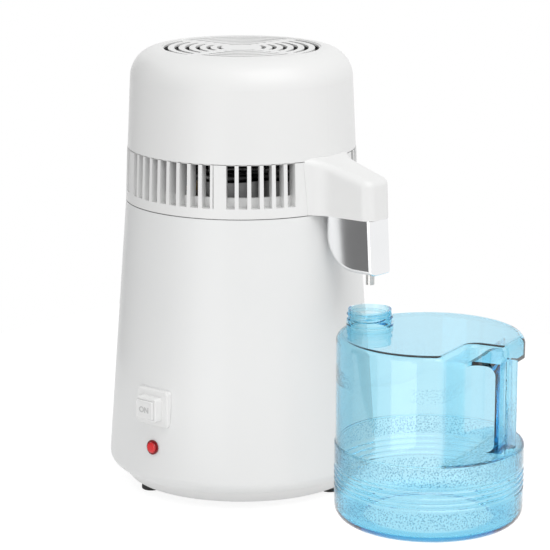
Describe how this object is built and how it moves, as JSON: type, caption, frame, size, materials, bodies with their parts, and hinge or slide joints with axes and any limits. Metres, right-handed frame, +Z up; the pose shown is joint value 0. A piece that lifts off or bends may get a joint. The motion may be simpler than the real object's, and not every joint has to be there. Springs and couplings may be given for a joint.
{
  "type": "countertop water distiller",
  "caption": "Countertop water distiller: tapered white boiler, lift-off vented fan head with a spout arm and chrome spout, and a clear blue screw-neck collection jug with a side grip.",
  "frame": {"origin": "on the case's axis, on the counter that the feet stand on", "axes": "+X the way the spout points, -Y the front with the switch, +Z up"},
  "size_m": [0.371, 0.2341, 0.3603],
  "materials": {
    "white_enamel": "smooth white enamel",
    "white_plastic": "satin white moulding",
    "chrome": "polished",
    "rubber": "matte",
    "silicone": "soft satin",
    "steel": "brushed",
    "aluminium": "mill finish",
    "brass": "plain",
    "black_plastic": "fine texture",
    "grey_plastic": "grey moulding",
    "lead_sleeve": "woven sleeve",
    "motor_steel": "plated",
    "charcoal_bag": "woven bag",
    "red_lens": "clear red",
    "blue_jug": "clear light blue"
  },
  "bodies": {
    "base": {"rubber_feet": "rubber", "foot_screws": "steel", "base_pan": "white_plastic", "tie_bolt": "steel", "tie_nut": "steel", "heat_shield": "aluminium", "heater_plate": "aluminium", "heating_element": "steel", "element_pins": "steel", "thermostat": "black_plastic", "thermal_fuse": "brass", "boiling_pot": "steel", "outer_case": "white_enamel", "switch_bezel": "white_plastic", "switch_block": "black_plastic", "button_spring": "steel", "pilot_lens": "red_lens", "pilot_holder": "black_plastic", "inlet_socket": "black_plastic", "inlet_pins": "brass", "inlet_screws": "steel", "internal_leads": "lead_sleeve"},
    "button": {"on_button": "white_plastic"},
    "seal": {"lid_seal": "silicone"},
    "head": {"lid_plate": "steel", "lid_screws": "steel", "vent_ring": "white_plastic", "head_screws": "steel", "condenser_coil": "steel", "coil_fins": "aluminium", "steam_nut": "brass", "dome_cover": "white_plastic", "fan_motor": "motor_steel", "motor_bracket": "steel", "bracket_screws": "steel", "motor_screws": "steel", "fan_inlet": "black_plastic", "fan_inlet_pins": "brass", "fan_lead": "lead_sleeve", "spout_arm": "white_plastic", "arm_screws": "steel"},
    "fan": {"fan_shaft": "steel", "fan_impeller": "grey_plastic"},
    "spout": {"spout_shell": "chrome", "filter_cup": "white_plastic", "charcoal_pod": "charcoal_bag", "outlet_tube": "steel"},
    "jug": {"collection_jug": "blue_jug"}
  },
  "joints": [
    {"name": "head_lift", "type": "slide", "parent": "base", "child": "seal", "axis": [0, 0, 1], "range_m": [0, 0.12]},
    {"name": "head_turn", "type": "hinge", "parent": "seal", "child": "head", "pos_m": [0, 0, 0.2417], "axis": [0, 0, 1], "continuous": true},
    {"name": "fan_spin", "type": "hinge", "parent": "head", "child": "fan", "pos_m": [0, 0, 0.34], "axis": [0, 0, 1], "continuous": true},
    {"name": "spout_pull", "type": "slide", "parent": "head", "child": "spout", "axis": [0, 0, -1], "range_m": [0, 0.016]},
    {"name": "button_press", "type": "slide", "parent": "base", "child": "button", "axis": [0, 1, 0], "range_m": [0, 0.0025], "stiffness_N_per_m": 500, "springref_m": -0.001, "deforming": ["button_spring"]},
    {"name": "jug_slide", "type": "slide", "parent": "base", "child": "jug", "axis": [1, 0, 0], "range_m": [0, 0.25]}
  ]
}
